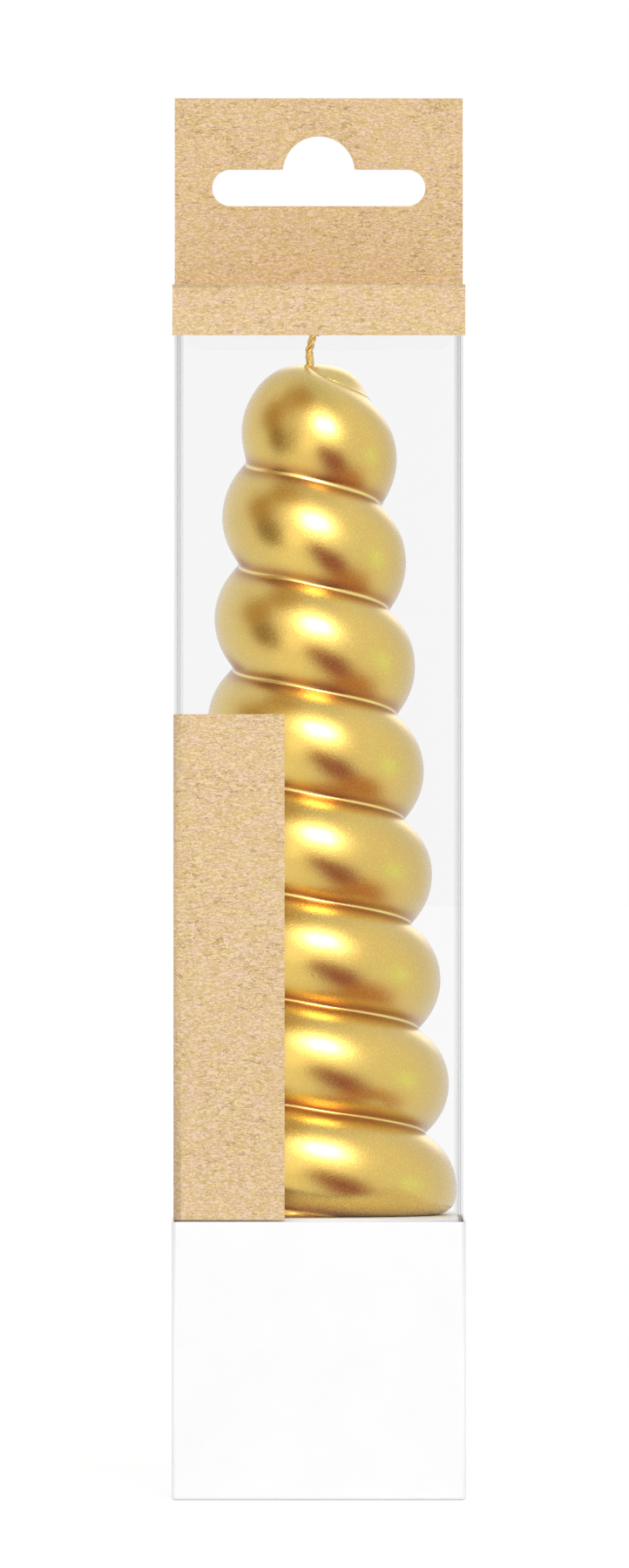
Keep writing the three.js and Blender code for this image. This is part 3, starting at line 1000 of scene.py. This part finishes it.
def slot_outline(slot, crease_height):
    """The hanging slot's outline as points across and up: two round ends and a hump."""
    end_radius = slot.bar / 2
    middle = crease_height + slot.over_crease + end_radius
    bar_top = middle + end_radius
    hump_middle = bar_top + slot.hump_rise - slot.hump_radius
    hump_start = math.asin((bar_top - hump_middle) / slot.hump_radius)
    reach = slot.width / 2 - end_radius
    quarter = math.pi / 2
    arcs = [
        (reach, middle, end_radius, -quarter, quarter),
        (0, hump_middle, slot.hump_radius, hump_start, math.pi - hump_start),
        (-reach, middle, end_radius, quarter, 3 * quarter),
    ]
    outline = []
    for across, up, radius, first, last in arcs:
        for step in range(slot.arc_steps + 1):
            turned = first + (last - first) * step / slot.arc_steps
            outline.append((across + radius * math.cos(turned), up + radius * math.sin(turned)))
    return outline


def closed_loop(bm, points):
    """Joins points into a closed loop of edges."""
    row = [bm.verts.new(point) for point in points]
    return [bm.edges.new(pair) for pair in zip(row, row[1:] + row[:1])]


class MakeHeader(bpy.types.Operator):
    """Model the kraft header: hang tab, top panel with its strip, and back leaf"""

    bl_idname = "horncandle.header"
    bl_label = "Kraft Header"

    def execute(self, context):
        settings = context.scene.horn_candle
        kraft = kraft_card("kraft_header", settings.colours, (1100, 3200, 3200))
        self.make_tab(settings, kraft)
        self.make_lid_card(settings, kraft)
        self.make_back_leaf(settings, kraft)
        return {"FINISHED"}

    def make_tab(self, settings, kraft):
        """Two leaves with the slot through both, rounded over where they are one fold."""
        leaves = bmesh.new()
        for node, side in (("tab_front_leaf", -1), ("tab_back_leaf", 1)):
            leaf = self.tab_leaf(settings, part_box(node), side)
            mesh = bpy.data.meshes.new("leaf")
            leaf.to_mesh(mesh)
            leaf.free()
            leaves.from_mesh(mesh)
            bpy.data.meshes.remove(mesh)
        nodes = ["tab_front_leaf", "tab_back_leaf"]
        keep_off_gold(add_piece("hang_tab_card", leaves, kraft, "hang_tab", nodes))

    @staticmethod
    def tab_leaf(settings, corners, side):
        """One leaf of the tab, a hair thin of its node, with its outer top edge rounded."""
        low, high = corners
        thickness = (high.y - low.y) * 0.98
        rounding = thickness * 0.95
        outer = low.y if side < 0 else high.y
        bm = bmesh.new()
        rectangle = [(low.x, low.z), (high.x, low.z), (high.x, high.z), (low.x, high.z)]
        edges = closed_loop(bm, [(x, outer, z) for x, z in rectangle])
        slot = slot_outline(settings.slot, low.z)
        edges += closed_loop(bm, [(x, outer, z) for x, z in slot])
        bmesh.ops.triangle_fill(bm, use_beauty=True, use_dissolve=False, edges=edges)
        made = bmesh.ops.extrude_face_region(bm, geom=bm.faces[:])
        bmesh.ops.translate(bm, vec=(0, -side * thickness, 0), verts=made_verts(made))
        top = [
            edge
            for edge in bm.edges
            if all(abs(v.co.z - high.z) < TOUCH and abs(v.co.y - outer) < TOUCH for v in edge.verts)
        ]
        bevel_edges(bm, top, rounding, settings.box.crease_steps)
        bmesh.ops.recalc_face_normals(bm, faces=bm.faces[:])
        return bm

    @staticmethod
    def make_lid_card(settings, kraft):
        """The panel over the lid and the strip that hangs over the front, as one creased card."""
        panel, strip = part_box("header_top_panel"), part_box("header_front_strip")
        thickness = strip[1].y - strip[0].y
        left, width = strip[0].x, strip[1].x - strip[0].x
        bm = folded_sheet(
            [
                (left, panel[1].y, panel[1].z),
                (left, strip[0].y, panel[1].z),
                (left, strip[0].y, strip[0].z),
            ],
            (width, 0, 0),
            settings.box.lid_crease,
            settings.box.crease_steps,
            thickness,
            Vector((0, 0, strip[0].z)),
        )
        nodes = ["header_top_panel", "header_front_strip"]
        keep_off_gold(add_piece("header_lid_card", bm, kraft, "lid", nodes))

    @staticmethod
    def make_back_leaf(settings, kraft):
        """The leaf that is glued to the back of the sleeve."""
        low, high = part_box("header_back_leaf")
        bm = folded_sheet(
            [(low.x, high.y, low.z), (high.x, high.y, low.z)],
            (0, 0, high.z - low.z),
            settings.box.lid_crease,
            settings.box.crease_steps,
            high.y - low.y,
            Vector((0, 0, low.z)),
        )
        nodes = ["header_back_leaf"]
        keep_off_gold(add_piece("header_back_card", bm, kraft, "cover", nodes))


class MakeBand(bpy.types.Operator):
    """Model the kraft band that wraps the sleeve's left side"""

    bl_idname = "horncandle.band"
    bl_label = "Kraft Band"

    def execute(self, context):
        settings = context.scene.horn_candle
        low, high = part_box("side_band")
        front_right, back_right = self.ends()
        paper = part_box("clear_left")[0].x - low.x
        bm = folded_sheet(
            [
                (front_right, low.y, low.z),
                (low.x, low.y, low.z),
                (low.x, high.y, low.z),
                (back_right, high.y, low.z),
            ],
            (0, 0, high.z - low.z),
            settings.box.clear_crease + paper,
            settings.box.crease_steps,
            paper,
            Vector((0, 0, (low.z + high.z) / 2)),
        )
        kraft = kraft_card("kraft_band", settings.colours, (1100, 1100, 3200))
        keep_off_gold(add_piece("kraft_side_band", bm, kraft, "cover", ["side_band"]))
        return {"FINISHED"}

    @staticmethod
    def ends():
        """Where the band ends at the front and at the back, from the node's corners."""
        points = [vert.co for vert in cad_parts["side_band"].data.vertices]
        front = max(point.x for point in points if point.y < 0)
        back = max(point.x for point in points if point.y > 0)
        return front, back


class MakeTray(bpy.types.Operator):
    """Model the white tray and the folded riser inside it"""

    bl_idname = "horncandle.tray"
    bl_label = "White Tray"

    def execute(self, context):
        settings = context.scene.horn_candle
        card = white_card(settings.colours)
        self.make_tray(settings.box, card)
        self.make_riser(settings.box, card)
        return {"FINISHED"}

    @staticmethod
    def make_tray(box, card):
        """A floor with four walls creased up from it."""
        low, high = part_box("tray_front")[0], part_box("tray_back")[1]
        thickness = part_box("tray_floor")[1].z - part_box("tray_floor")[0].z
        bm = bmesh.new()
        made = bmesh.ops.create_cube(bm, size=1)
        middle = (low + high) / 2
        bmesh.ops.scale(bm, vec=high - low, verts=made["verts"])
        bmesh.ops.translate(bm, vec=middle, verts=made["verts"])
        top = [face for face in bm.faces if face.normal.z > 0.5]
        bmesh.ops.delete(bm, geom=top, context="FACES_ONLY")
        upright = [edge for edge in bm.edges if abs(edge.verts[0].co.z - edge.verts[1].co.z) > MM]
        bevel_edges(bm, upright, box.tray_crease, box.crease_steps)
        round_floor = [
            edge
            for edge in bm.edges
            if len(edge.link_faces) == 2 and all(v.co.z < low.z + TOUCH for v in edge.verts)
        ]
        bevel_edges(bm, round_floor, box.floor_crease, box.crease_steps // 2)
        bm.normal_update()
        face_away(bm, middle)
        thicken(bm, thickness)
        nodes = ["tray_floor", "tray_front", "tray_back", "tray_left", "tray_right"]
        add_piece("white_tray", bm, card, "base", nodes)

    @staticmethod
    def make_riser(box, card):
        """A strip with a foot, a leg, the platform, a leg and a foot."""
        low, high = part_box("riser_platform")
        front_foot, back_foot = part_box("riser_front_foot"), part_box("riser_back_foot")
        floor = front_foot[0].z
        bm = folded_sheet(
            [
                (low.x, front_foot[1].y, floor),
                (low.x, low.y, floor),
                (low.x, low.y, high.z),
                (low.x, high.y, high.z),
                (low.x, high.y, floor),
                (low.x, back_foot[0].y, floor),
            ],
            (high.x - low.x, 0, 0),
            box.riser_crease,
            box.crease_steps,
            high.z - low.z,
            Vector((0, 0, (floor + high.z) / 2)),
        )
        parts = ["platform", "front_leg", "front_foot", "back_leg", "back_foot"]
        nodes = [f"riser_{part}" for part in parts]
        add_piece("white_riser", bm, card, "base", nodes)


class MakeStage(bpy.types.Operator):
    """Add the camera, the soft lights and the pale floor"""

    bl_idname = "horncandle.stage"
    bl_label = "Stage"

    def execute(self, context):
        stage = context.scene.horn_candle.stage
        context.scene.view_settings.view_transform = "Standard"
        self.add_camera(context.scene, stage)
        # The key only lights and the soft box is only mirrored. The soft box stands in front of
        # the key, which would hide it otherwise.
        size = (stage.key_size, stage.key_size)
        keep_off_gold(self.add_light(stage, "key", stage.key, size, stage.key_distance))
        size = (stage.softbox_width, stage.softbox_height)
        softbox = self.add_light(stage, "softbox", stage.softbox, size, stage.softbox_distance)
        softbox.visible_diffuse = False
        self.add_sky(context.scene, stage, context.scene.horn_candle.sky)
        self.add_floor(stage)
        return {"FINISHED"}

    @staticmethod
    def add_camera(scene, stage):
        """A level camera in front of the box."""
        data = bpy.data.cameras.new("camera")
        to_front = stage.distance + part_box("clear_front")[0].y
        data.lens = data.sensor_width * to_front / stage.view_height
        data.clip_end = 4 * stage.floor_radius
        camera = bpy.data.objects.new("camera", data)
        camera.location = (stage.side, -stage.distance, stage.height)
        camera.rotation_euler = (math.pi / 2, 0, 0)
        scene.collection.objects.link(camera)
        scene.camera = camera

    @staticmethod
    def add_light(stage, name, power, size, distance):
        """A rectangular light over the front, which looks at the middle of the object."""
        data = bpy.data.lights.new(name, "AREA")
        data.shape = "RECTANGLE"
        data.energy = power
        data.size, data.size_y = size
        light = bpy.data.objects.new(name, data)
        towards = heading_of(stage.light_side, stage.light_rise)
        light.location = (CAD_BOX[0] + CAD_BOX[1]) / 2 + towards * distance
        light.rotation_euler = towards.to_track_quat("Z", "Y").to_euler()
        bpy.context.scene.collection.objects.link(light)
        return light

    @staticmethod
    def add_sky(scene, stage, sky):
        """White to the camera, even for soft light, and a pale studio for reflections."""
        scene.world = bpy.data.worlds.new("studio")
        scene.world.use_nodes = True
        nodes = Nodes(scene.world.node_tree)
        room = sky_room(nodes, sky)
        reflected = nodes.add("ShaderNodeBackground", {}, {"Color": room, "Strength": 1.0})
        even = nodes.add("ShaderNodeBackground", {}, {"Color": (1, 1, 1), "Strength": stage.sky})
        seen = nodes.add("ShaderNodeBackground", {}, {"Color": (1, 1, 1), "Strength": 1.0})
        glossy = nodes.add("ShaderNodeLightPath", output="Is Glossy Ray")
        lit = nodes.add("ShaderNodeMixShader", {}, {0: glossy, 1: even, 2: reflected})
        world = nodes.add("ShaderNodeMixShader", {}, {0: nodes.sight_ray(), 1: lit, 2: seen})
        nodes.add("ShaderNodeOutputWorld", {}, {"Surface": world})

    @staticmethod
    def add_floor(stage):
        """A round floor that is white to the camera and keeps the object's soft shadow."""
        bm = bmesh.new()
        bmesh.ops.create_circle(bm, cap_ends=True, radius=stage.floor_radius, segments=96)
        bmesh.ops.translate(bm, vec=(0, 0, CAD_BOX[0].z - 0.1 * MM), verts=bm.verts[:])
        mesh = bpy.data.meshes.new("floor")
        bm.to_mesh(mesh)
        bm.free()
        mesh.materials.append(floor_white(stage))
        floor = bpy.data.objects.new("floor", mesh)
        keep_off_gold(floor)
        bpy.context.scene.collection.objects.link(floor)


def heading_of(side, rise):
    """The direction that is turned to the camera's right and raised by these angles."""
    level = math.cos(rise)
    return Vector((math.sin(side) * level, -math.cos(side) * level, math.sin(rise)))


def zone(nodes, heading, side, rise, inner, outer):
    """1 in a round patch of the sky, and 0 outside it, with a soft edge between two angles."""
    towards = heading_of(math.radians(side), math.radians(rise))
    settings = {"operation": "DOT_PRODUCT"}
    near = nodes.add("ShaderNodeVectorMath", settings, {0: heading, 1: towards}, "Value")
    return nodes.smooth_step(near, math.cos(math.radians(outer)), math.cos(math.radians(inner)))


def sky_room(nodes, sky):
    """The studio that the gold mirrors, as round patches of colour on a pale room.

    A patch has a colour, the side and the rise of its middle, and the angles from its middle
    where it starts to fade and where it ends, all in degrees. A later patch covers an earlier.
    """
    heading = nodes.add("ShaderNodeTexCoord", output="Generated")
    glow = Vector(sky.glow) * sky.glow_strength
    streak = Vector(sky.glow) * sky.streak_strength
    leaf = Vector(sky.leaf) * sky.leaf_strength
    window = Vector(sky.window) * sky.window_strength
    panel = Vector((1, 1, 1)) * sky.panel_strength
    patches = (
        (sky.back, 180, 10, 50, 95),
        (sky.ceiling, 0, 76, 14, 38),
        (window, -128, 0, 12, 42),
        (glow, 4, 22, 14, 42),
        (glow, -28, -10, 4, 22),
        (streak, -42, -38, 8, 26),
        (sky.amber, -72, 26, 0, 30),
        (sky.amber, -44, 60, 0, 28),
        (sky.olive, -58, -4, 8, 26),
        (sky.rust, 60, -62, 10, 34),
        (sky.umber, 2, -23, 4, 18),
        (sky.umber, 19, -36, 8, 25),
        (leaf, 84, -12, 2, 13),
        (panel, 168, 28, 10, 24),
        (sky.umber, 200, -34, 6, 26),
    )
    room = sky.room
    for tone, side, rise, inner, outer in patches:
        room = nodes.mixed(zone(nodes, heading, side, rise, inner, outer), room, tone)
    return room


def floor_white(stage):
    """The floor: to the camera it glows a little, less near the object, where the key adds."""
    material, nodes = new_material("floor_white")
    reflects, near_glow, far_glow = (
        (level, level, level)
        for level in (stage.floor_reflects, stage.floor_near_glow, stage.floor_far_glow)
    )
    from_middle = nodes.add(
        "ShaderNodeVectorMath", {"operation": "LENGTH"}, {0: nodes.object_place()}, "Value"
    )
    glow = nodes.mixed(nodes.smooth_step(from_middle, 0.2, 2.0), near_glow, far_glow)
    bright = {
        "Base Color": reflects,
        "Roughness": 1.0,
        "Specular IOR Level": 0.0,
        "Emission Color": glow,
        "Emission Strength": 1.0,
    }
    seen = nodes.add("ShaderNodeBsdfPrincipled", {}, bright)
    plain = nodes.add(
        "ShaderNodeBsdfPrincipled", {}, {"Base Color": (0.9, 0.9, 0.9), "Roughness": 1.0}
    )
    surface = nodes.add("ShaderNodeMixShader", {}, {0: nodes.sight_ray(), 1: plain, 2: seen})
    nodes.add("ShaderNodeOutputMaterial", {}, {"Surface": surface})
    return material


class HornCandlePanel(bpy.types.Panel):
    """Lists the pieces and their sizes in the sidebar."""

    bl_idname = "VIEW3D_PT_horn_candle"
    bl_label = "Horn Candle"
    bl_space_type = "VIEW_3D"
    bl_region_type = "UI"
    bl_category = "Horn Candle"

    def draw(self, context):
        layout = self.layout
        for operator in OPERATORS:
            layout.operator(operator.bl_idname)
        settings = context.scene.horn_candle
        for group_name in GROUP_NAMES:
            group = getattr(settings, group_name)
            box = layout.box()
            box.label(text=group_name.title())
            for size_name in group.__annotations__:
                box.prop(group, size_name)


OPERATORS = (MakeHorn, MakeWick, MakeSleeve, MakeHeader, MakeBand, MakeTray, MakeStage)
GROUPS = (
    HornSizes,
    WickSizes,
    BoxSizes,
    SlotSizes,
    Colours,
    SkyColours,
    StageSettings,
    HornCandle,
)
GROUP_NAMES = ("horn", "wick", "box", "slot", "colours", "sky", "stage")


def register():
    """Registers the settings, the operators and the panel."""
    for cls in (*GROUPS, *OPERATORS, HornCandlePanel):
        bpy.utils.register_class(cls)
    bpy.types.Scene.horn_candle = PointerProperty(type=HornCandle)


def unregister():
    """Removes what register() added."""
    del bpy.types.Scene.horn_candle
    for cls in reversed((*GROUPS, *OPERATORS, HornCandlePanel)):
        bpy.utils.unregister_class(cls)


def main():
    """Makes every piece in order."""
    register()
    for operator in OPERATORS:
        group, name = operator.bl_idname.split(".")
        getattr(getattr(bpy.ops, group), name)()


if __name__ == "__main__":
    main()
